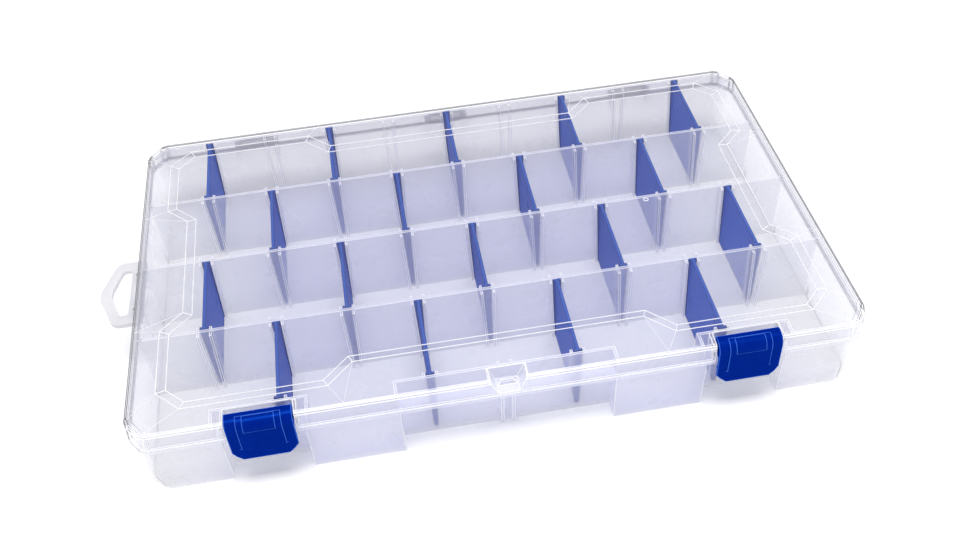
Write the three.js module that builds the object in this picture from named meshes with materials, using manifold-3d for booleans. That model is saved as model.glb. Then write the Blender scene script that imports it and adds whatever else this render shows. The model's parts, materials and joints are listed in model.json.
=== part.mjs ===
// Clear utility tackle box: a tray with moulded partitions, a hinged lid, two snap latches,
// eighteen lift-out dividers and a hang tab.
// Millimetres, +Z up, front towards -Y. The origin is the centre of the tray's underside.

import * as THREE from 'three';
import { ConvexGeometry } from 'three/addons/geometries/ConvexGeometry.js';
import { mergeVertices } from 'three/addons/utils/BufferGeometryUtils.js';
import Module from 'manifold-3d';

const wasm = await Module();
wasm.setup();

// ---------------------------------------------------------------- driving dimensions

const WALL = 1.4;                 // moulded wall thickness
const GAP = 0.3;                  // running clearance between separate pieces
const FLOOR = 1.7;                // tray floor thickness

const RIM = { x: 178.5, y: 110.5, cutX: 7.5, cutY: 10 };     // flange and lid outline
const TRAY_FOOT = { x: 175.2, y: 107.2 };                    // tray outline at the floor
const TRAY_NECK = { x: 176.8, y: 108.8 };                    // tray outline under the flange
const LIP = { x: 176.5, y: 108.5 };                          // lip that stands inside the lid

const FLANGE = { bottom: 32.6, top: 34.2 };
const LIP_TOP = 42.7;
const LIP_THINNING = 0.1;                                    // the wall thins towards the lip
const PARTITION_TOP = 42.9;
const LID = { parting: 34.5, shoulder: 42.8, ceiling: 43.4, edge: 44.6, panel: 45.0, ridge: 45.9 };

const SLOT_PITCH = 35.6;                                     // between divider slots
const SLOTS = [-4, -3, -2, -1, 0, 1, 2, 3, 4];
const PARTITIONS = [55.9, 4.4, -47.1];                       // centre lines of the long walls
const PARTITION_THICK = 1.6;
const CREST_SHORT = 2;                                       // from a partition's crest to the end
// A slot is the room between two ribs. Slots and divider heads both narrow downwards.
const RIB = { footInner: 1.35, topInner: 2.5, thick: 1.2, depth: 2.4, top: 42.1 };
const DIVIDER = { web: 1.7, footHead: 1.9, topHead: 4.2, headDepth: 1.4, bottom: 2.0, top: 43.1 };

const RECESS = { footY: -97.9, topY: -99.7 };                // outer face of the set-back wall
const CENTRE_RECESS = 52;                                    // half width
const LATCH_X = 116.3;                                       // centre of each latch, both sides
const LATCH_RECESS = { low: 19.6, high: 21.3 };              // half widths below and above flange
const LATCH_POCKET = 16.1;                                   // half width of the pocket in the lid
const POCKET_Y = -101.7;                                     // outer face of a pocket's back wall
const POCKET_EASE = 0.7;                                     // cut off each back corner of a pocket
const LATCH = {
  half: 15.5, y: -107.6, z: 41, barrel: 2.9, pin: 1.35, pinEnd: 17.4, bore: 1.7,
  crown: 5.4,                                                // radius of the rounded top
  crownZ: -0.4,                                              // its centre, below the pivot
  border: 0.45,                                              // how far the side borders are sunk
  badge: 0.3,                                                // how far the small panel stands proud
};

// The latch's own sections, drawn about its pivot: y to the rear, z up.
const PLATE = { back: -3.7, face: -5.2, foot: -19.6, panelFoot: -13, draft: 0.2, heel: -3.4 };
const PANEL_HALF = 10.4;
const BADGE = { half: 7.4, foot: -1 };
const CATCH = { top: -9.3, bottom: -10.9, slope: 0.5 };
const LIP_FOOT = { y: -5.9, edge: -16.3, half: 10.8, cutTop: -15.4, backing: 0.4 };

// Notch and slot for a tie or a small padlock, in the middle of the front.
const TIE_NOTCH = { low: 5, high: 9.2, shelf: 36.2 };
const TIE_SLOT = { backHalf: 2.9, frontHalf: 4.7, back: -102.6, front: -105.8 };
const GUSSET = { x: 2.8, half: 0.8, foot: 2, head: 8 };      // pair of stiffeners under the slot

const HINGES = [-116, 0, 116];                               // middle of each hinge
const HINGE = { y: 114, z: 34, barrel: 2.9, pin: 1.6, bore: 2.0, knuckle: 9.8, ear: 10.2, end: 12.7 };

const EAR = { root: 108, foot: 26 };                         // where an ear meets the tray's wall
const ARM = { root: 109.9, low: 34.6, nose: 115, noseTop: 36.4, top: 40 };   // the lid's arm

const TAB = { top: 32.3, thick: 2.4, peg: 1.3, pegEnd: 0.5, hole: 1.7, pegY: 13, pegX: -181 };
const TAB_OUTLINE = [[-177.3, 23.4], [-190.6, 23.4], [-193.4, 20.4], [-200, 2.8]];
const TAB_LOOP = [[-184.4, 17], [-189.2, 17], [-194, 1.9]];
const TAB_EASE = { outline: 1.4, loop: 1.2 };
const LUG = { inner: -175.5, outer: -183.5, half: 3, foot: 22, toe: 27.6 };   // carries one peg

// The skirt leans in by these amounts at the shoulder and at the brow above it.
const SKIRT = { shoulderInset: 0.4, browInset: 0.9, browDrop: 0.6 };
const EDGE = { x: 176.3, y: 108.3 };                         // where the lid's top begins
const PANEL_STEP = 4.5;                                      // slope round the sunk panel

// One quarter of the ridge round the sunk panel, from the middle of the back to the right end.
const RIDGE_QUARTER = [[71, 85], [83.5, 97.5], [152, 97.5], [163.5, 86], [163.5, 46], [152.5, 35]];

// The slope between the lid's edge and the ridge is folded: its facets in each quarter, each
// given by its points on the edge and on the ridge.
const FACETS = [
  { edge: [[0, EDGE.y], [77, EDGE.y]], ridge: [[0, 85], [71, 85]] },
  { edge: [[77, EDGE.y]], ridge: [[71, 85], [83.5, 97.5]] },
  { edge: [[77, EDGE.y], [158, EDGE.y]], ridge: [[83.5, 97.5], [152, 97.5]] },
  {
    edge: [[158, EDGE.y], [168.8, EDGE.y], [EDGE.x, 98.3], [EDGE.x, 90]],
    ridge: [[152, 97.5], [163.5, 86]],
  },
  { edge: [[EDGE.x, 90], [EDGE.x, 43]], ridge: [[163.5, 86], [163.5, 46]] },
  { edge: [[EDGE.x, 43]], ridge: [[163.5, 46], [152.5, 35]] },
  { edge: [[EDGE.x, 43], [EDGE.x, 0]], ridge: [[152.5, 35], [152.5, 0]] },
];

const BITE = 0.5;                 // how far shapes that join run into each other
const FAR = 60;                   // reaches past everything when cutting

// ---------------------------------------------------------------- solids

function solid(geometry) {
  const shape = geometry.clone();
  shape.deleteAttribute('normal');
  shape.deleteAttribute('uv');
  const welded = mergeVertices(shape, 1e-4);
  const vertProperties = new Float32Array(welded.attributes.position.array);
  const triVerts = new Uint32Array(welded.index.array);
  return new wasm.Manifold(new wasm.Mesh({ numProp: 3, vertProperties, triVerts }));
}

function geometryOf(body) {
  const mesh = body.getMesh();
  const geometry = new THREE.BufferGeometry();
  const points = new Float32Array(mesh.vertProperties);
  geometry.setAttribute('position', new THREE.BufferAttribute(points, 3));
  geometry.setIndex(new THREE.BufferAttribute(new Uint32Array(mesh.triVerts), 1));
  geometry.computeVertexNormals();
  return geometry;
}

function joined(bodies) {
  return bodies.reduce((sum, body) => sum.add(body));
}

function without(body, cutters) {
  return cutters.reduce((rest, cutter) => rest.subtract(cutter), body);
}

function box(x0, x1, y0, y1, z0, z1) {
  const geometry = new THREE.BoxGeometry(x1 - x0, y1 - y0, z1 - z0);
  geometry.translate((x0 + x1) / 2, (y0 + y1) / 2, (z0 + z1) / 2);
  return solid(geometry);
}

// A convex solid between two level outlines, which gives walls their draft.
function taper(low, z0, high, z1) {
  const at = (outline, z) => outline.map(([x, y]) => new THREE.Vector3(x, y, z));
  return solid(new ConvexGeometry([...at(low, z0), ...at(high, z1)]));
}

function rectangle(x0, x1, y0, y1) {
  return [[x0, y0], [x1, y0], [x1, y1], [x0, y1]];
}

function shapeOf(outline) {
  return new THREE.Shape(outline.map(([x, y]) => new THREE.Vector2(x, y)));
}

// An outline drawn in x and y, given a height in z.
function plate(outline, z0, z1, hole) {
  const shape = shapeOf(outline);
  if (hole) {
    shape.holes.push(shapeOf(hole));
  }
  const geometry = new THREE.ExtrudeGeometry(shape, { depth: z1 - z0, bevelEnabled: false });
  geometry.translate(0, 0, z0);
  return solid(geometry);
}

// A profile drawn in y and z, given a length in x.
function alongX(profile, x0, x1) {
  const geometry = new THREE.ExtrudeGeometry(shapeOf(profile), { depth: x1 - x0, bevelEnabled: false });
  geometry.rotateZ(Math.PI / 2);
  geometry.rotateY(Math.PI / 2);
  geometry.translate(x0, 0, 0);
  return solid(geometry);
}

function rodX(x0, x1, y, z, radius, sides = 20) {
  const geometry = new THREE.CylinderGeometry(radius, radius, x1 - x0, sides);
  geometry.rotateZ(Math.PI / 2);
  geometry.translate((x0 + x1) / 2, y, z);
  return solid(geometry);
}

function rodZ(x, y, z0, z1, radius, sides = 16) {
  const geometry = new THREE.CylinderGeometry(radius, radius, z1 - z0, sides);
  geometry.rotateX(Math.PI / 2);
  geometry.translate(x, y, (z0 + z1) / 2);
  return solid(geometry);
}

function arc(y, z, radius, from, to, steps) {
  const points = [];
  for (let i = 0; i <= steps; i += 1) {
    const angle = THREE.MathUtils.degToRad(from + (to - from) * i / steps);
    points.push([y + radius * Math.cos(angle), z + radius * Math.sin(angle)]);
  }
  return points;
}

// Each corner of an outline is eased by a short facet.
function eased(outline, length) {
  return outline.flatMap((corner, i) => {
    const before = outline[(i + outline.length - 1) % outline.length];
    const after = outline[(i + 1) % outline.length];
    return [before, after].map((end) => {
      const run = Math.hypot(end[0] - corner[0], end[1] - corner[1]);
      return corner.map((value, axis) => value + (end[axis] - value) * length / run);
    });
  });
}

// The box outline seen from above: a rectangle with eased, cut-off corners.
function plan(halfX, halfY, ease = 2) {
  const { cutX, cutY } = RIM;
  const corners = [
    [halfX, -halfY + cutY], [halfX, halfY - cutY], [halfX - cutX, halfY], [-halfX + cutX, halfY],
    [-halfX, halfY - cutY], [-halfX, -halfY + cutY], [-halfX + cutX, -halfY], [halfX - cutX, -halfY],
  ];
  return eased(corners, ease);
}

// ---------------------------------------------------------------- tray

// The set-back front wall at height z.
function recessY(z) {
  return RECESS.footY + (RECESS.topY - RECESS.footY) * z / LIP_TOP;
}

// A block in front of the set-back wall. depth moves its back face into the tray.
function recessBlock(x0, x1, z0, z1, depth) {
  const front = -RIM.y - FAR;
  const low = rectangle(x0 - depth, x1 + depth, front, recessY(z0) + depth);
  const high = rectangle(x0 - depth, x1 + depth, front, recessY(z1) + depth);
  return taper(low, z0, high, z1);
}

function recessBlocks(z0, z1, latchHalf, depth) {
  const middles = [[0, CENTRE_RECESS], [-LATCH_X, latchHalf], [LATCH_X, latchHalf]];
  return middles.map(([x, half]) => recessBlock(x - half, x + half, z0, z1, depth));
}

// The two ribs of a slot on a wall that is at yLow and yHigh, its lower and upper end.
function slotRibs(x, yLow, yHigh, side) {
  const inward = (y) => [y - side * BITE, y + side * RIB.depth].sort((a, b) => a - b);
  return [-1, 1].map((hand) => {
    const edges = (inner) => [inner, inner + RIB.thick].map((d) => x + hand * d);
    const low = rectangle(...edges(RIB.footInner), ...inward(yLow));
    const high = rectangle(...edges(RIB.topInner), ...inward(yHigh));
    return taper(low, FLOOR - BITE, high, RIB.top);
  });
}

// The tapered slot that a tie passes through, in the lid's shelf and the tray's flange.
function tieSlot() {
  const { backHalf, frontHalf, back, front } = TIE_SLOT;
  const outline = [[-frontHalf, front], [frontHalf, front], [backHalf, back], [-backHalf, back]];
  return plate(outline, FLANGE.bottom - 2, LID.ridge);
}

const CAVITY_FOOT = { x: TRAY_FOOT.x - WALL, y: TRAY_FOOT.y - WALL };
const CAVITY_TOP = { x: LIP.x - WALL + LIP_THINNING, y: LIP.y - WALL + LIP_THINNING };

// An ear is a round eye joined to the wall below it, cut clear of the lid's skirt.
function hingeEar(x0, x1) {
  const root = [[EAR.root, EAR.foot], [EAR.root, FLANGE.top]];
  const eye = arc(HINGE.y, HINGE.z, HINGE.barrel, -110, 150, 13);
  const points = [...root, ...eye];
  const ends = [x0, x1].flatMap((x) => points.map(([y, z]) => new THREE.Vector3(x, y, z)));
  const skirtRoom = box(x0 - 1, x1 + 1, EAR.root - 1, RIM.y + GAP, FLANGE.top, FAR);
  return solid(new ConvexGeometry(ends)).subtract(skirtRoom);
}

function makeTray() {
  const shell = [
    taper(plan(TRAY_FOOT.x, TRAY_FOOT.y), 0, plan(TRAY_NECK.x, TRAY_NECK.y), FLANGE.top),
    taper(plan(LIP.x, LIP.y), FLANGE.top - 1, plan(LIP.x, LIP.y), LIP_TOP),
  ];
  const outside = without(joined(shell), [
    ...recessBlocks(-1, FLANGE.bottom, LATCH_RECESS.low, 0),
    ...recessBlocks(FLANGE.bottom, LIP_TOP + 1, LATCH_RECESS.high, 0),
  ]);
  const flange = plate(plan(RIM.x, RIM.y), FLANGE.bottom, FLANGE.top);

  const cavity = without(
    taper(plan(CAVITY_FOOT.x, CAVITY_FOOT.y), FLOOR, plan(CAVITY_TOP.x, CAVITY_TOP.y), LIP_TOP + 2),
    [
      ...recessBlocks(-1, FLANGE.bottom, LATCH_RECESS.low, WALL),
      ...recessBlocks(FLANGE.bottom, LIP_TOP + 3, LATCH_RECESS.high, WALL),
    ],
  );

  // Each partition, and the crest on it that stops short of the end walls.
  const wallAlong = (y, end, z0, z1) => box(
    -end, end, y - PARTITION_THICK / 2, y + PARTITION_THICK / 2, z0, z1,
  );
  const partitions = PARTITIONS.flatMap((y) => [
    wallAlong(y, CAVITY_TOP.x + GAP, FLOOR - BITE, LIP_TOP),
    wallAlong(y, CAVITY_TOP.x - CREST_SHORT, LIP_TOP - 1, PARTITION_TOP),
  ]);

  const ribs = [];
  for (const slot of SLOTS) {
    const x = slot * SLOT_PITCH;
    for (const y of PARTITIONS) {
      for (const side of [-1, 1]) {
        const face = y + side * PARTITION_THICK / 2;
        ribs.push(...slotRibs(x, face, face, side));
      }
    }
    ribs.push(...slotRibs(x, CAVITY_FOOT.y, CAVITY_TOP.y, -1));
    const inLatchRecess = Math.abs(Math.abs(x) - LATCH_X) < LATCH_RECESS.low;
    if (Math.abs(x) < CENTRE_RECESS || inLatchRecess) {
      ribs.push(...slotRibs(x, recessY(0) + WALL, recessY(RIB.top) + WALL, 1));
    }
  }

  const ears = [];
  for (const x of HINGES) {
    ears.push(hingeEar(x - HINGE.end, x - HINGE.ear));
    ears.push(hingeEar(x + HINGE.ear, x + HINGE.end));
  }
  const bores = HINGES.map((x) => (
    rodX(x - HINGE.end - 1, x + HINGE.end + 1, HINGE.y, HINGE.z, HINGE.bore)
  ));

  const gussets = [-GUSSET.x, GUSSET.x].map((x) => {
    const section = (reach) => rectangle(
      x - GUSSET.half, x + GUSSET.half, RECESS.footY - reach, RECESS.footY + BITE,
    );
    return taper(section(GUSSET.foot), 0, section(GUSSET.head), FLANGE.bottom + BITE);
  });

  const lugTop = TAB.top - TAB.thick - GAP;
  const lugs = [-TAB.pegY, TAB.pegY].map((y) => solid(new ConvexGeometry(
    [-LUG.half, LUG.half].flatMap((w) => [
      new THREE.Vector3(LUG.inner, y + w, LUG.foot),
      new THREE.Vector3(LUG.inner, y + w, lugTop),
      new THREE.Vector3(LUG.outer, y + w, lugTop),
      new THREE.Vector3(LUG.outer, y + w, LUG.toe),
    ]),
  )));
  const pegs = [-TAB.pegY, TAB.pegY].map((y) => (
    rodZ(TAB.pegX, y, lugTop - 1, TAB.top - TAB.pegEnd, TAB.peg)
  ));

  const body = joined([without(joined([outside, flange]), [cavity]), ...partitions]);
  const whole = joined([body, ...ribs, ...ears, ...gussets, ...lugs, ...pegs]);
  return without(whole, [tieSlot(), ...bores]);
}

// ---------------------------------------------------------------- lid

// A quarter outline mirrored into the whole one, in order round the box.
function allQuarters(quarter) {
  const back = [...quarter].reverse();
  return [
    ...quarter.map(([x, y]) => [x, y]), ...back.map(([x, y]) => [x, -y]),
    ...quarter.map(([x, y]) => [-x, -y]), ...back.map(([x, y]) => [-x, y]),
  ].reverse();
}

function inset(outline, distance) {
  const line = (a, b) => {
    const run = Math.hypot(b[0] - a[0], b[1] - a[1]);
    const normal = [-(b[1] - a[1]) / run, (b[0] - a[0]) / run];
    return [...normal, normal[0] * a[0] + normal[1] * a[1] + distance];
  };
  return outline.map((corner, i) => {
    const before = outline[(i + outline.length - 1) % outline.length];
    const after = outline[(i + 1) % outline.length];
    const [a, b, c] = line(before, corner);
    const [d, e, f] = line(corner, after);
    const scale = a * e - b * d;
    return [(c * e - b * f) / scale, (a * f - c * d) / scale];
  });
}

function lidTop() {
  const ridge = allQuarters(RIDGE_QUARTER);
  const slopes = [];
  for (const [sx, sy] of [[1, 1], [1, -1], [-1, 1], [-1, -1]]) {
    for (const facet of FACETS) {
      const points = [
        ...facet.edge.map(([x, y]) => [x, y, LID.edge]),
        ...facet.ridge.map(([x, y]) => [x, y, LID.ridge]),
      ];
      const all = points.flatMap(([x, y, z]) => [
        new THREE.Vector3(sx * x, sy * y, z),
        new THREE.Vector3(sx * x, sy * y, LID.ceiling),
      ]);
      slopes.push(solid(new ConvexGeometry(all)));
    }
  }
  const middle = plate(ridge, LID.ceiling, LID.ridge);
  const depth = LID.ridge - LID.panel;
  const sink = new THREE.ExtrudeGeometry(shapeOf(inset(ridge, PANEL_STEP)), {
    depth: 2, bevelEnabled: true, bevelThickness: depth, bevelSize: PANEL_STEP, bevelSegments: 1,
  });
  sink.translate(0, 0, LID.panel + depth);
  return joined([...slopes, middle]).subtract(solid(sink));
}

// The room cut out of the lid's front edge for a latch, with cut-off back corners.
function latchRoom(x, z0, depth) {
  const front = -RIM.y - FAR;
  const back = POCKET_Y + depth;
  const half = LATCH_POCKET + depth;
  const outline = [
    [x - half, front], [x + half, front], [x + half, back - POCKET_EASE],
    [x + half - POCKET_EASE, back], [x - half + POCKET_EASE, back], [x - half, back - POCKET_EASE],
  ];
  return plate(outline, z0, FAR);
}

// The room above the tie slot, which widens upwards.
function tieRoom(z0, depth) {
  const draft = (TIE_NOTCH.high - TIE_NOTCH.low) / (LID.ridge - TIE_NOTCH.shelf);
  const section = (z) => {
    const half = TIE_NOTCH.low + draft * (z - TIE_NOTCH.shelf) + depth;
    return rectangle(-half, half, -RIM.y - FAR, POCKET_Y + depth);
  };
  return taper(section(z0), z0, section(LID.ridge + 1), LID.ridge + 1);
}

function makeLid() {
  const levels = [
    [plan(RIM.x, RIM.y), LID.parting],
    [plan(RIM.x - SKIRT.shoulderInset, RIM.y - SKIRT.shoulderInset), LID.shoulder],
    [plan(RIM.x - SKIRT.browInset, RIM.y - SKIRT.browInset), LID.edge - SKIRT.browDrop],
    [plan(EDGE.x, EDGE.y), LID.edge],
  ];
  const skirt = levels.slice(1).map((level, i) => taper(...levels[i], ...level));
  const latchMiddles = [-LATCH_X, LATCH_X];
  const rooms = latchMiddles.map((x) => latchRoom(x, LID.parting - 1, 0));
  const outside = without(joined([...skirt, lidTop()]), [...rooms, tieRoom(TIE_NOTCH.shelf, 0)]);

  const innerFoot = plan(RIM.x - WALL, RIM.y - WALL);
  const topInset = WALL + SKIRT.shoulderInset;
  const innerTop = plan(RIM.x - topInset, RIM.y - topInset);
  const inside = without(taper(innerFoot, LID.parting - 1, innerTop, LID.ceiling), [
    ...latchMiddles.map((x) => latchRoom(x, 0, WALL)),
    tieRoom(LID.parting - 1, WALL),
  ]);
  const boreEnd = LATCH_POCKET + WALL + BITE;
  const bores = latchMiddles.map((x) => (
    rodX(x - boreEnd, x + boreEnd, LATCH.y, LATCH.z, LATCH.bore)
  ));

  const arm = [
    [ARM.root, ARM.low], [HINGE.y, ARM.low], [ARM.nose, ARM.noseTop], [ARM.root, ARM.top],
  ];
  const hinges = HINGES.flatMap((x) => [
    rodX(x - HINGE.knuckle, x + HINGE.knuckle, HINGE.y, HINGE.z, HINGE.barrel),
    rodX(x - HINGE.end, x + HINGE.end, HINGE.y, HINGE.z, HINGE.pin),
    alongX(arm, x - HINGE.knuckle, x + HINGE.knuckle),
  ]);
  const shell = without(outside, [inside, tieSlot(), ...bores]);
  return joined([shell, ...hinges]);
}

// ---------------------------------------------------------------- latch, divider, hang tab

// The side view of the latch. shift moves its rounded front, which sinks or raises the face.
function latchProfile(shift, foot) {
  const catchFace = -RIM.y - GAP - LATCH.y;
  const front = -LATCH.crown + shift;
  return [
    ...arc(0, 0, LATCH.barrel, -90, 10, 6),
    ...arc(shift, LATCH.crownZ, LATCH.crown, 65, 180, 14),
    [front + PLATE.draft, foot],
    [PLATE.back, foot],
    ...(foot < CATCH.bottom ? [
      [PLATE.back, CATCH.bottom - CATCH.slope], [catchFace, CATCH.bottom],
      [catchFace, CATCH.top], [PLATE.back, CATCH.top + CATCH.slope],
    ] : []),
    [PLATE.back, PLATE.heel],
  ];
}

// The flared finger lip, wider at its foot than the panel above it.
function latchLip() {
  const { half } = LATCH;
  const side = -LATCH.crown + LATCH.border + PLATE.draft;
  const points = [-1, 1].flatMap((hand) => [
    [hand * PANEL_HALF, PLATE.face, PLATE.panelFoot],
    [hand * half, side, LIP_FOOT.edge],
    [hand * half, LIP_FOOT.y, PLATE.foot],
    [hand * half, PLATE.back, PLATE.foot],
    [hand * half, PLATE.back - LIP_FOOT.backing, PLATE.panelFoot],
  ]);
  return solid(new ConvexGeometry(points.map((point) => new THREE.Vector3(...point))));
}

function makeLatch() {
  const { half } = LATCH;
  const plateBody = alongX(latchProfile(LATCH.border, PLATE.foot), -half, half);
  const panel = alongX(latchProfile(0, PLATE.panelFoot), -PANEL_HALF, PANEL_HALF);
  const badge = alongX(latchProfile(-LATCH.badge, BADGE.foot), -BADGE.half, BADGE.half);
  const cornerCut = (hand) => {
    const reach = (x) => [
      [hand * x, -FAR], [hand * FAR, -FAR], [hand * FAR, FAR], [hand * x, FAR],
    ];
    return taper(reach(LIP_FOOT.half), PLATE.foot, reach(half), LIP_FOOT.cutTop);
  };
  const pins = rodX(-LATCH.pinEnd, LATCH.pinEnd, 0, 0, LATCH.pin, 16);
  const whole = joined([plateBody, panel, badge, latchLip(), pins]);
  return without(whole, [cornerCut(-1), cornerCut(1)]);
}

// The rows between the walls, back to front, as the face behind and the face in front.
const ROWS = [
  { back: CAVITY_TOP.y, backFoot: CAVITY_FOOT.y, front: PARTITIONS[0] + PARTITION_THICK / 2 },
  { back: PARTITIONS[0] - PARTITION_THICK / 2, front: PARTITIONS[1] + PARTITION_THICK / 2 },
  { back: PARTITIONS[1] - PARTITION_THICK / 2, front: PARTITIONS[2] + PARTITION_THICK / 2 },
  {
    back: PARTITIONS[2] - PARTITION_THICK / 2,
    front: recessY(LIP_TOP) + WALL,
    frontFoot: recessY(0) + WALL,
  },
];

function makeDivider(row) {
  const top = { back: row.back - GAP, front: row.front + GAP };
  const foot = {
    back: (row.backFoot ?? row.back) - GAP,
    front: (row.frontFoot ?? row.front) + GAP,
  };
  const slab = (footWidth, topWidth, pick) => taper(
    rectangle(-footWidth / 2, footWidth / 2, ...pick(foot)), DIVIDER.bottom,
    rectangle(-topWidth / 2, topWidth / 2, ...pick(top)), DIVIDER.top,
  );
  const { web, footHead, topHead, headDepth } = DIVIDER;
  return joined([
    slab(web, web, (end) => [end.front, end.back]),
    slab(footHead, topHead, (end) => [end.front, end.front + headDepth]),
    slab(footHead, topHead, (end) => [end.back - headDepth, end.back]),
  ]);
}

function makeTab() {
  const mirrored = (half) => [...half, ...[...half].reverse().map(([x, y]) => [x, -y])];
  const outer = eased(mirrored(TAB_OUTLINE), TAB_EASE.outline);
  const loop = eased(mirrored(TAB_LOOP), TAB_EASE.loop);
  const ring = plate(outer, TAB.top - TAB.thick, TAB.top, loop);
  const holes = [-TAB.pegY, TAB.pegY].map((y) => rodZ(TAB.pegX, y, 0, FAR, TAB.hole));
  return without(ring, holes);
}

// ---------------------------------------------------------------- assembly

const clearTray = new THREE.MeshStandardMaterial({
  color: 0xd9d9ea, roughness: 0.35, metalness: 0, transparent: true, opacity: 0.5,
});
const clearLid = new THREE.MeshStandardMaterial({
  color: 0xe6e6f6, roughness: 0.15, metalness: 0, transparent: true, opacity: 0.35,
});
const blueDivider = new THREE.MeshStandardMaterial({
  color: 0x3f52b8, roughness: 0.3, metalness: 0, transparent: true, opacity: 0.75,
});
const blueLatch = new THREE.MeshStandardMaterial({ color: 0x0026a0, roughness: 0.2, metalness: 0 });
const frosted = new THREE.MeshStandardMaterial({
  color: 0xcfcfd4, roughness: 0.4, metalness: 0, transparent: true, opacity: 0.7,
});

const tackleBox = new THREE.Group();

function add(name, body, material, x = 0, y = 0, z = 0) {
  const mesh = new THREE.Mesh(geometryOf(body), material.clone());
  mesh.name = name;
  mesh.position.set(x, y, z);
  tackleBox.add(mesh);
}

add('base_tray', makeTray(), clearTray);
add('lid', makeLid(), clearLid);
add('latch_left', makeLatch(), blueLatch, -LATCH_X, LATCH.y, LATCH.z);
add('latch_right', makeLatch(), blueLatch, LATCH_X, LATCH.y, LATCH.z);
add('hang_tab', makeTab(), frosted);

// Rows one and three hold five dividers, rows two and four hold four.
ROWS.forEach((row, index) => {
  const used = index % 2 === 0 ? [-4, -2, 0, 2, 4] : [-3, -1, 1, 3];
  const body = makeDivider(row);
  used.forEach((slot, order) => {
    add(`divider_row${index + 1}_${order + 1}`, body, blueDivider, slot * SLOT_PITCH);
  });
});

export default tackleBox;
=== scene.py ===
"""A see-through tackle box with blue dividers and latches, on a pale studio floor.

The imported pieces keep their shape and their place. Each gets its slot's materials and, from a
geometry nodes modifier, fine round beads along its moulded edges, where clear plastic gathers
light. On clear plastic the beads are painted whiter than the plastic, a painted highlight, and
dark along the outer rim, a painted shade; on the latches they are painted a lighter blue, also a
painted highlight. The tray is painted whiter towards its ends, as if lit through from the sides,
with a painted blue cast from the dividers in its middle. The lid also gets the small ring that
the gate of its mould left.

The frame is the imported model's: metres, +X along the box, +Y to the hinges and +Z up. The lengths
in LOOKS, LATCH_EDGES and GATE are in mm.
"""

import json
import math

import bmesh
import bpy
from mathutils import Matrix, Vector


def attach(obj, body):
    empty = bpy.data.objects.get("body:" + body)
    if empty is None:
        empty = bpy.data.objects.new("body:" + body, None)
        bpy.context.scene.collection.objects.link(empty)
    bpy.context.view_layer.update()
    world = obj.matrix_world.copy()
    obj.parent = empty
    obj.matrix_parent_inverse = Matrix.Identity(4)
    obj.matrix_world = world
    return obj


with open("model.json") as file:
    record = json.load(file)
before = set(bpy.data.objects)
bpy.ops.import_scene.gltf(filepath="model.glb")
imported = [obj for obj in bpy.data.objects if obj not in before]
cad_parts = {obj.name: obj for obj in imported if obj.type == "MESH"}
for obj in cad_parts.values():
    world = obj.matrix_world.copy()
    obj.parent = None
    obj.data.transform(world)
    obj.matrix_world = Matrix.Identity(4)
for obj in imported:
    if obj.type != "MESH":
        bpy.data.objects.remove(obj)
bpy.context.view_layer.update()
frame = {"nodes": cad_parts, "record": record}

MM = 0.001


# ---------------------------------------------------------------- node helpers

class Nodes:
    """A node tree under construction, with short ways to add and join nodes."""

    def __init__(self, tree):
        self.tree = tree

    def feed(self, value, socket):
        """Joins a socket to another node's output, or sets it to a constant."""
        if isinstance(value, bpy.types.NodeSocket):
            self.tree.links.new(value, socket)
        else:
            socket.default_value = value

    def add(self, kind, inputs=None, **settings):
        """A node with its settings, and its inputs, by name or number, joined or set."""
        node = self.tree.nodes.new(kind)
        for key, value in settings.items():
            setattr(node, key, value)
        for key, value in (inputs or {}).items():
            self.feed(value, node.inputs[key])
        return node

    def arithmetic(self, operation, *values):
        node = self.add("ShaderNodeMath", dict(enumerate(values)), operation=operation)
        return node.outputs["Value"]

    def along(self, place, axis):
        """The part of a place that lies along X, Y or Z."""
        return self.add("ShaderNodeSeparateXYZ", {"Vector": place}).outputs[axis]

    def off_centre(self, place):
        """How far a place is from the middle of the box's length."""
        return self.arithmetic("ABSOLUTE", self.along(place, "X"))


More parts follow.
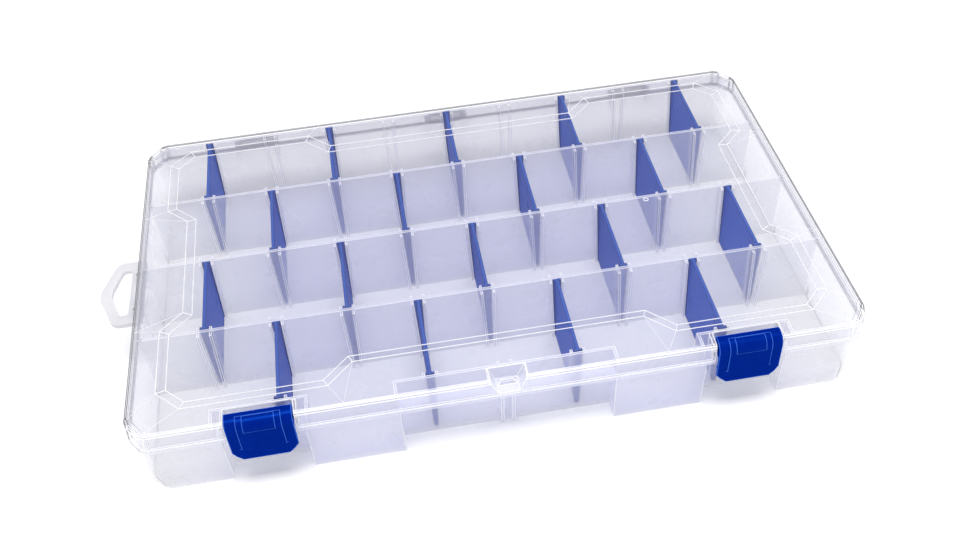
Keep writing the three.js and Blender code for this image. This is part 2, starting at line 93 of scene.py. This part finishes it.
class Shader(Nodes):
    """A material under construction."""

    def __init__(self, name):
        self.material = bpy.data.materials.new(name)
        self.material.use_nodes = True
        super().__init__(self.material.node_tree)
        self.tree.nodes.clear()
        self.place = self.add("ShaderNodeTexCoord").outputs["Object"]
        self.outer = None

    def finish(self, surface):
        self.add("ShaderNodeOutputMaterial", {"Surface": surface})
        return self.material

    def noise(self, scale, detail=2.0, roughness=0.5, stretch=None):
        """Noise with features about 1 / scale metres across, stretched along an axis if asked."""
        source = self.place
        if stretch:
            mapping = self.add("ShaderNodeMapping", {"Vector": source, "Scale": stretch})
            source = mapping.outputs["Vector"]
        node = self.add("ShaderNodeTexNoise", {
            "Vector": source, "Scale": scale, "Detail": detail, "Roughness": roughness,
        })
        return node.outputs["Fac"]

    def ranged(self, source, low, high, start=0.3, end=0.7):
        """low where the source is at start, high where it is at end, and a ramp between them."""
        node = self.add("ShaderNodeMapRange", {
            "Value": source, "From Min": start, "From Max": end, "To Min": low, "To Max": high,
        })
        return node.outputs["Result"]

    def near_ends(self, start, end):
        """0 in the middle of the box and 1 near both of its ends, from start to end along X."""
        return self.ranged(self.off_centre(self.place), 0.0, 1.0, start, end)

    def near_back(self, start, end):
        """0 in the box and 1 near its back, from start to end along Y."""
        return self.ranged(self.along(self.place, "Y"), 0.0, 1.0, start, end)

    def near_clasp(self, half, front, most):
        """most at the middle of the box's front, further forward than front, and 0 elsewhere."""
        across = self.ranged(self.off_centre(self.place), most, 0.0, half - MM, half + MM)
        forward = self.ranged(self.along(self.place, "Y"), 1.0, 0.0, -front - MM, -front)
        return self.arithmetic("MULTIPLY", across, forward)

    def lowered(self, source, factor, share):
        """source, cut down to a share of itself as the factor goes from 0 to 1."""
        return self.arithmetic("MULTIPLY", source, self.ranged(factor, 1.0, share, 0.0, 1.0))

    def blend(self, factor, low, high):
        """A mix of two colours, each a tuple or another node's output."""
        node = self.add("ShaderNodeMix", {"Factor": factor}, data_type="RGBA")
        for name, colour in (("A", low), ("B", high)):
            socket = next(s for s in node.inputs if s.name == name and s.type == "RGBA")
            self.feed((*colour, 1.0) if isinstance(colour, tuple) else colour, socket)
        return next(s for s in node.outputs if s.type == "RGBA")

    def bump(self, height, distance, below=None):
        node = self.add("ShaderNodeBump", {"Height": height, "Distance": distance, "Strength": 1.0})
        if below is not None:
            self.feed(below, node.inputs["Normal"])
        return node.outputs["Normal"]

    def mix(self, factor, first, second):
        return self.add("ShaderNodeMixShader", {"Fac": factor, 1: first, 2: second}).outputs["Shader"]

    def outside_only(self, share):
        """share on a wall's outer side and nothing on its inner side, so that it counts once."""
        if self.outer is None:
            inner = self.add("ShaderNodeNewGeometry").outputs["Backfacing"]
            self.outer = self.arithmetic("SUBTRACT", 1.0, inner)
        return self.arithmetic("MULTIPLY", share, self.outer)

    def clear(self, tint):
        return self.add("ShaderNodeBsdfTransparent", {"Color": (*tint, 1.0)}).outputs["BSDF"]

    def cloudy(self, colour, normal, through):
        """Light scattered back from the plastic, and the share of it scattered on through."""
        leaves = [
            self.add(kind, {"Color": colour, "Normal": normal}).outputs["BSDF"]
            for kind in ("ShaderNodeBsdfDiffuse", "ShaderNodeBsdfTranslucent")
        ]
        return self.mix(through, *leaves)

    def gloss(self, roughness, normal, colour=(1.0, 1.0, 1.0)):
        node = self.add("ShaderNodeBsdfGlossy", {
            "Color": (*colour, 1.0), "Roughness": roughness, "Normal": normal,
        })
        return node.outputs["BSDF"]

    def mirror_share(self, normal, grazing):
        """How much a smooth plastic face mirrors: little head on, and grazing at a flat angle."""
        facing = self.add("ShaderNodeLayerWeight", {"Blend": 0.5, "Normal": normal}).outputs["Facing"]
        return self.ranged(self.arithmetic("POWER", facing, 5.0), HEAD_ON_MIRROR, grazing, 0.0, 1.0)


class Geometry(Nodes):
    """A geometry node group under construction, with one geometry in and one out."""

    def __init__(self, name):
        super().__init__(bpy.data.node_groups.new(name, "GeometryNodeTree"))
        for side in ("INPUT", "OUTPUT"):
            self.tree.interface.new_socket("Geometry", in_out=side, socket_type="NodeSocketGeometry")
        self.piece = self.add("NodeGroupInput").outputs["Geometry"]

    def finish(self, geometry):
        self.add("NodeGroupOutput", {"Geometry": geometry})
        return self.tree

    def place(self):
        return self.add("GeometryNodeInputPosition").outputs["Position"]

    def above(self, value, limit):
        node = self.add("FunctionNodeCompare", {"A": value, "B": limit}, operation="GREATER_THAN")
        return node.outputs["Result"]

    def logic(self, operation, *values):
        node = self.add("FunctionNodeBooleanMath", dict(enumerate(values)), operation=operation)
        return node.outputs["Boolean"]

    def limited(self, operation, place, corner):
        """A place, held to one side of a corner of a box on every axis."""
        node = self.add("ShaderNodeVectorMath", {0: place, 1: corner}, operation=operation)
        return node.outputs["Vector"]

    def painted(self, geometry, material, selection=True):
        node = self.add("GeometryNodeSetMaterial", {
            "Geometry": geometry, "Selection": selection, "Material": material,
        })
        return node.outputs["Geometry"]

    def shaded(self, geometry, smooth, selection=True, domain="FACE"):
        node = self.add("GeometryNodeSetShadeSmooth", {
            "Geometry": geometry, "Selection": selection, "Shade Smooth": smooth,
        }, domain=domain)
        return node.outputs["Geometry"]

    def joined(self, *geometries):
        node = self.add("GeometryNodeJoinGeometry")
        for geometry in geometries:
            self.feed(geometry, node.inputs["Geometry"])
        return node.outputs["Geometry"]


# ---------------------------------------------------------------- materials

HEAD_ON_MIRROR = 0.04     # what plastic mirrors when it is looked at square on

# Each see-through slot's look. The two values of a range are the ends of a noise.
#   dull, bright    the two ends of the plastic's colour
#   clear           the colour of the light that passes straight through
#   haze            how much of the light is stopped by cloudiness
#   end, back       where another colour and haze begin and are full: along X from the middle, and
#                   along Y. Towards the ends the colour is painted whiter and the haze thinner,
#                   painted light as if lit through from the sides, and the middle keeps a
#                   lavender that is partly the plastic's own tint and partly a painted blue cast
#                   from the dividers. Towards the back the colour turns darker and hazier.
#   frosted         a hazier patch at the middle of the front: half its width, where it starts, haze
#   ripple, grain   the height of the slow waves and of the fine grain
#   roughness       of what a face mirrors
#   grazing         how much a face mirrors at a flat angle
#   edge...         colour, haze and mirror tint of the beads along the edges; on clear and frosted
#                   plastic they are painted whiter than the body, a painted highlight
#   bead            the beads' radius
#   sharper_than    the angle in degrees past which an edge gets a bead
#   angle           a signed angle leaves out the edges that fold inwards
#   fold            a thinner bead's share of that radius, and the angle past which an edge gets one
#   brow            the heights of a bead's line between which it is never more than the thin bead
#   rim, shaded_rim_look   beads past these distances, along X either way and along Y, have this look:
#                   darker beads, a painted shade along the outline against the background
LOOKS = {
    "clear_tray": {
        "dull": (0.80, 0.805, 0.945), "bright": (0.87, 0.875, 0.98),
        "clear": (0.985, 0.986, 0.998), "haze": (0.48, 0.56),
        # Painted light: whiter, less hazy ends as if lit through from the sides; the middle's blue cast
        # is painted.
        "end": (100, 168), "lit_end_colour": (0.91, 0.905, 0.92), "lit_end_haze": 0.72,
        "back": (85, 106), "back_colour": (0.66, 0.65, 0.705), "back_haze": 0.66,
        "roughness": (0.24, 0.34), "grazing": 0.35, "ripple": 0.03, "grain": 0.002,
        "edge": (0.98, 0.98, 1.0), "edge_haze": (0.92, 1.0), "edge_mirror": (0.95, 0.95, 1.0),
        "bead": 0.17, "sharper_than": 28, "angle": "Signed Angle",
        "rim": (171.0, 108.5),
        # Painted shade: dark grey, less clear beads along the tray's outer rim, against the background.
        "shaded_rim_look": {
            "edge": (0.42, 0.42, 0.45), "edge_haze": (0.65, 0.80), "edge_mirror": (0.7, 0.7, 0.73),
            "clear": (0.90, 0.90, 0.92),
        },
    },
    "clear_lid": {
        "dull": (0.93, 0.93, 0.98), "bright": (0.96, 0.96, 0.99),
        "clear": (0.992, 0.992, 0.998), "haze": (0.035, 0.050), "frosted": (9.3, 103.0, 0.42),
        "roughness": (0.05, 0.10), "grazing": 0.8, "ripple": 0.03,
        "edge": (1.0, 1.0, 1.0), "edge_haze": (0.90, 1.0), "edge_mirror": (0.85, 0.85, 0.90),
        "bead": 0.25, "sharper_than": 8, "angle": "Unsigned Angle",
        "fold": (0.4, 2.6), "brow": (44.2, 44.6), "rim": (175.5, 107.4),
        # Painted shade: dark grey, less clear beads along the lid's outer rim, against the background.
        "shaded_rim_look": {
            "edge": (0.28, 0.28, 0.30), "edge_haze": (0.80, 0.92), "edge_mirror": (0.50, 0.50, 0.53),
            "clear": (0.80, 0.80, 0.82),
        },
    },
    "blue_divider": {
        "dull": (0.003, 0.090, 0.46), "bright": (0.009, 0.118, 0.54),
        "clear": (0.20, 0.36, 0.95), "haze": (0.95, 0.99),
        "roughness": (0.26, 0.34), "grazing": 0.10, "ripple": 0.03, "grain": 0.002,
        "edge": (0.003, 0.016, 0.17), "edge_haze": (0.98, 1.0), "edge_mirror": (0.01, 0.03, 0.16),
        "bead": 0.2, "sharper_than": 28, "angle": "Signed Angle",
    },
    "frosted_tab": {
        "dull": (0.66, 0.655, 0.68), "bright": (0.74, 0.735, 0.76),
        "clear": (0.95, 0.95, 0.96), "haze": (0.72, 0.80),
        "roughness": (0.30, 0.42), "grazing": 0.35, "ripple": 0.03, "grain": 0.003,
        "edge": (0.90, 0.90, 0.92), "edge_haze": (0.85, 0.95), "edge_mirror": (0.70, 0.70, 0.74),
        "bead": 0.25, "sharper_than": 28, "angle": "Signed Angle",
    },
}

# What the beads of every see-through slot have in common.
BEAD_FINISH = {"duller": 0.94, "roughness": (0.12, 0.22), "grazing": 0.7, "ripple": 0.004}

# The latches are solid blue, with a tinted sheen, and smooth but for their sharper edges. The beads
# along those edges are painted a lighter blue with a paler sheen, a painted highlight.
LATCH_EDGES = {"bead": 0.2, "sharper_than": 24, "angle": "Unsigned Angle", "smooth": True}
LATCH_BODY = {"dull": (0.0003, 0.008, 0.17), "bright": (0.0005, 0.014, 0.23), "sheen": (0.01, 0.14, 0.9)}
LATCH_HIGHLIGHT_BEADS = {"dull": (0.02, 0.10, 0.55), "bright": (0.04, 0.15, 0.65), "sheen": (0.3, 0.6, 1.0)}
LATCH_FINISH = {"roughness": (0.20, 0.32), "grazing": 0.6, "ripple": 0.05, "grain": 0.003}


def moulded(name, look):
    """See-through moulded plastic: clouds, flow ripple and fine grain."""
    shader = Shader(name)
    cloud = shader.ranged(shader.noise(9.0, detail=3.0), 0.0, 1.0)
    colour = shader.blend(cloud, look["dull"], look["bright"])
    haze = shader.ranged(shader.noise(23.0, detail=4.0, roughness=0.6), *look["haze"])
    # Painted light: the colour is painted whiter and the haze thinner towards both ends, as if lit
    # through from the sides, leaving a painted blue cast from the dividers in the middle.
    if "end" in look:
        end = shader.near_ends(*(distance * MM for distance in look["end"]))
        colour = shader.blend(end, colour, look["lit_end_colour"])
        haze = shader.lowered(haze, end, look["lit_end_haze"])
    if "back" in look:
        back = shader.near_back(*(distance * MM for distance in look["back"]))
        colour = shader.blend(back, colour, look["back_colour"])
        haze = shader.arithmetic("MAXIMUM", haze, shader.ranged(back, 0.0, look["back_haze"], 0.0, 1.0))
    if "frosted" in look:
        half, front, most = look["frosted"]
        haze = shader.arithmetic("MAXIMUM", haze, shader.near_clasp(half * MM, front * MM, most))
    roughness = shader.ranged(shader.noise(60.0, detail=4.0, roughness=0.6), *look["roughness"])
    ripple = shader.noise(28.0, detail=1.5, stretch=(0.6, 1.0, 1.0))
    normal = shader.bump(ripple, look["ripple"] * MM)
    if "grain" in look:
        normal = shader.bump(shader.noise(2600.0, detail=1.0), look["grain"] * MM, below=normal)
    cloudy = shader.cloudy(colour, normal, through=0.5)
    body = shader.mix(shader.outside_only(haze), shader.clear(look["clear"]), cloudy)
    mirror = shader.outside_only(shader.mirror_share(normal, look["grazing"]))
    return shader.finish(shader.mix(mirror, body, shader.gloss(roughness, normal)))


def moulded_edge(name, look):
    """The beads along the edges of the same plastic, which gather light and look denser."""
    shader = Shader(name)
    # On clear and frosted plastic the beads are painted whiter and hazier than the body, a painted
    # highlight where the edges gather light.
    fine = shader.noise(150.0, detail=3.0)
    dull = tuple(BEAD_FINISH["duller"] * part for part in look["edge"])
    colour = shader.blend(shader.ranged(fine, 0.0, 1.0), dull, look["edge"])
    haze = shader.ranged(fine, *look["edge_haze"])
    roughness = shader.ranged(shader.noise(600.0), *BEAD_FINISH["roughness"])
    normal = shader.bump(shader.noise(700.0), BEAD_FINISH["ripple"] * MM)
    cloudy = shader.cloudy(colour, normal, through=0.2)
    body = shader.mix(shader.outside_only(haze), shader.clear(look["clear"]), cloudy)
    mirror = shader.outside_only(shader.mirror_share(normal, BEAD_FINISH["grazing"]))
    return shader.finish(shader.mix(mirror, body, shader.gloss(roughness, normal, look["edge_mirror"])))


def latch_plastic(name, look):
    """Solid blue plastic with a soft moulded gloss and fine handling marks."""
    shader = Shader(name)
    normal = shader.bump(shader.noise(90.0, detail=1.5), LATCH_FINISH["ripple"] * MM)
    normal = shader.bump(shader.noise(4200.0, detail=1.0), LATCH_FINISH["grain"] * MM, below=normal)
    colour = shader.blend(shader.noise(120.0), look["dull"], look["bright"])
    body = shader.add("ShaderNodeBsdfDiffuse", {"Color": colour, "Normal": normal}).outputs["BSDF"]
    marks = shader.noise(500.0, detail=4.0, roughness=0.7)
    roughness = shader.ranged(marks, *LATCH_FINISH["roughness"])
    mirror = shader.mirror_share(normal, LATCH_FINISH["grazing"])
    return shader.finish(shader.mix(mirror, body, shader.gloss(roughness, normal, look["sheen"])))


def slot_materials(slot, look):
    """The slot's materials: the body's, the beads', and the rim's where it has one."""
    materials = [moulded(slot, look), moulded_edge(slot + "_edge", look)]
    # The rim's material is a painted shade: darker beads along the outline.
    if "shaded_rim_look" in look:
        materials.append(moulded_edge(slot + "_rim", look["shaded_rim_look"]))
    return materials


EDGE = 1                  # the beads' place among a slot's materials
MATERIALS = {slot: slot_materials(slot, look) for slot, look in LOOKS.items()}
MATERIALS["blue_latch"] = [
    latch_plastic("blue_latch", LATCH_BODY),
    # Painted highlight: the latch's edge beads are painted a lighter blue.
    latch_plastic("blue_latch_edge", LATCH_HIGHLIGHT_BEADS),
]


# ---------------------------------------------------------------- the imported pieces

WELD_DISTANCE = 0.002     # mm
FLAT_WITHIN = 0.6         # degrees
BEAD_SIDES = 6
SUNK = 0.9                # how deep a bead sits in the piece, as a share of its radius


def outer_rim(tree, limits):
    """True past the limits along X and behind in Y, where an edge stands against the background."""
    ends, back = (limit * MM for limit in limits)
    place = tree.place()
    past_end = tree.above(tree.off_centre(place), ends)
    return tree.logic("OR", past_end, tree.above(tree.along(place, "Y"), back))


def beads_along(tree, chosen, radius, material):
    """A fine round bead of the material along each chosen edge, sunk most of the way into the piece."""
    normal = tree.add("GeometryNodeInputNormal").outputs["Normal"]
    inward = tree.add("ShaderNodeVectorMath", {0: normal, "Scale": -SUNK * radius}, operation="SCALE")
    moved = tree.add("GeometryNodeSetPosition", {
        "Geometry": tree.piece, "Offset": inward.outputs["Vector"],
    })
    lines = tree.add("GeometryNodeMeshToCurve", {
        "Mesh": moved.outputs["Geometry"], "Selection": chosen,
    })
    circle = tree.add("GeometryNodeCurvePrimitiveCircle", {"Resolution": BEAD_SIDES, "Radius": radius})
    beads = tree.add("GeometryNodeCurveToMesh", {
        "Curve": lines.outputs["Curve"], "Profile Curve": circle.outputs["Curve"], "Fill Caps": True,
    })
    return tree.painted(beads.outputs["Mesh"], material)


def kept_inside(tree, geometry):
    """The geometry with nothing left outside the box round the piece."""
    box = tree.add("GeometryNodeBoundBox", {"Geometry": tree.piece})
    below_top = tree.limited("MINIMUM", tree.place(), box.outputs["Max"])
    inside = tree.limited("MAXIMUM", below_top, box.outputs["Min"])
    moved = tree.add("GeometryNodeSetPosition", {"Geometry": geometry, "Position": inside})
    return moved.outputs["Geometry"]


def edge_beads(name, look, edge, rim=None):
    """A modifier's node group: full beads where the piece turns sharply, thin ones along its folds."""
    tree = Geometry(name)
    radius = look["bead"] * MM
    angle = tree.add("GeometryNodeInputMeshEdgeAngle").outputs[look["angle"]]
    sharp = tree.above(angle, math.radians(look["sharper_than"]))
    if "brow" in look:
        lowest, highest = (height * MM for height in look["brow"])
        height = tree.along(tree.place(), "Z")
        under_top = tree.logic("NOT", tree.above(height, highest))
        brow = tree.logic("AND", tree.above(height, lowest), under_top)
        sharp = tree.logic("AND", sharp, tree.logic("NOT", brow))
    groups = [beads_along(tree, sharp, radius, edge)]
    if "fold" in look:
        share, gentlest = look["fold"]
        turns = tree.above(angle, math.radians(gentlest))
        fold = tree.logic("AND", turns, tree.logic("NOT", sharp))
        groups.append(beads_along(tree, fold, share * radius, edge))
    beads = kept_inside(tree, tree.joined(*groups))
    # Painted shade: the beads along the outer rim take the darker rim material.
    if rim:
        beads = tree.painted(beads, rim, outer_rim(tree, look["rim"]))
    piece = tree.piece
    if "smooth" in look:
        rounded = tree.shaded(piece, True)
        piece = tree.shaded(rounded, False, selection=sharp, domain="EDGE")
    return tree.finish(tree.joined(piece, tree.shaded(beads, True)))


def weld(piece):
    """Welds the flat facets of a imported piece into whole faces."""
    weld_modifier = piece.modifiers.new("weld", "WELD")
    weld_modifier.merge_threshold = WELD_DISTANCE * MM
    flat_modifier = piece.modifiers.new("flat", "DECIMATE")
    flat_modifier.decimate_type = "DISSOLVE"
    flat_modifier.angle_limit = math.radians(FLAT_WITHIN)


def dress(piece, slot):
    """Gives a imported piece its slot's materials and the beads along its edges."""
    piece.data.materials.clear()
    for material in MATERIALS[slot]:
        piece.data.materials.append(material)
    weld(piece)
    piece.modifiers.new("edges", "NODES").node_group = BEADS[slot]


BEADS = {
    slot: edge_beads(slot + "_beads", look, *MATERIALS[slot][EDGE:])
    for slot, look in {**LOOKS, "blue_latch": LATCH_EDGES}.items()
}
for part in frame["record"]["subparts"]:
    dress(frame["nodes"][part["node"]], part["material_slot"])


# ---------------------------------------------------------------- the gate mark

# Its middle along X and Y, how far its bead's line is above the lid's sunk panel, the radius of the
# ring and of its bead, and how many steps the ring and the bead's round have.
GATE = {"middle": (95.2, -0.6), "lift": 0.02, "radius": 1.25, "bead": 0.24, "sides": 40, "round": 10}


def gate_mark():
    """The small raised ring that the mould's gate left on the lid's sunk panel."""
    mesh = bmesh.new()
    rings = []
    for turn in range(GATE["sides"]):
        angle = math.tau * turn / GATE["sides"]
        outward = Vector((math.cos(angle), math.sin(angle), 0))
        ring = []
        for step in range(GATE["round"]):
            bend = math.tau * step / GATE["round"]
            reach = GATE["radius"] + GATE["bead"] * math.cos(bend)
            rise = Vector((0, 0, GATE["bead"] * math.sin(bend)))
            ring.append(mesh.verts.new((outward * reach + rise) * MM))
        rings.append(ring)
    for turn, ring in enumerate(rings):
        following = rings[(turn + 1) % len(rings)]
        for step in range(len(ring)):
            after = (step + 1) % len(ring)
            face = mesh.faces.new((ring[step], following[step], following[after], ring[after]))
            face.smooth = True
    data = bpy.data.meshes.new("gate_mark")
    mesh.to_mesh(data)
    mesh.free()
    # The ring wears the lid's bead material, painted whiter as a painted highlight.
    data.materials.append(MATERIALS["clear_lid"][EDGE])
    piece = bpy.data.objects.new("gate_mark", data)
    bpy.context.scene.collection.objects.link(piece)
    panel = next(mount for mount in frame["record"]["mounts"] if mount["name"] == "lid_panel")
    x, y = (distance * MM for distance in GATE["middle"])
    piece.location = (x, y, panel["pos_m"][2] + GATE["lift"] * MM)
    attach(piece, "lid")


gate_mark()


# ---------------------------------------------------------------- studio

FLOOR_WIDTH = 12          # metres
WORLD_STRENGTH = 0.70
LAMP = {"place": (0.0, -0.30, 1.6), "size": (0.9, 0.6), "power": 19.5}    # metres and watts

# The camera's place in metres, its direction from the box and its roll in degrees, and its lens
# and sensor in mm.
CAMERA = {
    "place": (-0.0444, -0.4324, 0.4325),
    "azimuth": -6.78,
    "elevation": 44.46,
    "roll": -3.79,
    "lens": 39.96,
    "sensor": 36,
}


def add_object(name, data):
    added = bpy.data.objects.new(name, data)
    bpy.context.scene.collection.objects.link(added)
    return added


def make_camera():
    data = bpy.data.cameras.new("camera")
    data.lens = CAMERA["lens"]
    data.sensor_width = CAMERA["sensor"]
    data.clip_start = 0.01
    camera = add_object("camera", data)
    azimuth = math.radians(CAMERA["azimuth"])
    elevation = math.radians(CAMERA["elevation"])
    back = Vector((
        math.sin(azimuth) * math.cos(elevation),
        -math.cos(azimuth) * math.cos(elevation),
        math.sin(elevation),
    ))
    right = Vector((0, 0, 1)).cross(back).normalized()
    up = back.cross(right)
    roll = math.radians(CAMERA["roll"])
    across = math.cos(roll) * right + math.sin(roll) * up
    above = -math.sin(roll) * right + math.cos(roll) * up
    turn = Matrix((across, above, back)).transposed()
    camera.matrix_world = Matrix.Translation(CAMERA["place"]) @ turn.to_4x4()
    bpy.context.scene.camera = camera


def make_floor():
    """Pale paper under the box, matt and faintly uneven in tone."""
    bpy.ops.mesh.primitive_plane_add(size=FLOOR_WIDTH)
    floor = bpy.context.object
    floor.name = "studio_floor"
    shader = Shader("floor_paper")
    tone = shader.blend(shader.noise(3.0), (0.93, 0.93, 0.935), (0.95, 0.95, 0.955))
    paper = shader.add("ShaderNodeBsdfPrincipled", {
        "Base Color": tone, "Roughness": 0.9, "Specular IOR Level": 0.1,
    })
    floor.data.materials.append(shader.finish(paper.outputs["BSDF"]))


def make_lamp():
    """One wide soft lamp above the box, aimed at its middle."""
    data = bpy.data.lights.new("overhead", "AREA")
    data.shape = "RECTANGLE"
    data.size, data.size_y = LAMP["size"]
    data.energy = LAMP["power"]
    lamp = add_object("overhead", data)
    lamp.location = LAMP["place"]
    lamp.rotation_euler = (-Vector(LAMP["place"])).to_track_quat("-Z", "Y").to_euler()


def make_world():
    world = bpy.data.worlds.new("studio")
    bpy.context.scene.world = world
    world.use_nodes = True
    background = world.node_tree.nodes["Background"]
    background.inputs["Color"].default_value = (1.0, 1.0, 1.0, 1.0)
    background.inputs["Strength"].default_value = WORLD_STRENGTH


make_camera()
make_floor()
make_world()
make_lamp()

# Light passes through many clear walls, so it needs many bounces. The clamps keep out bright specks.
scene = bpy.context.scene
scene.view_settings.view_transform = "Standard"
scene.cycles.max_bounces = 12
scene.cycles.transmission_bounces = 8
scene.cycles.transparent_max_bounces = 40
scene.cycles.diffuse_bounces = 8
scene.cycles.glossy_bounces = 4
scene.cycles.sample_clamp_direct = 2.5
scene.cycles.sample_clamp_indirect = 1.2
scene.cycles.blur_glossy = 2.0
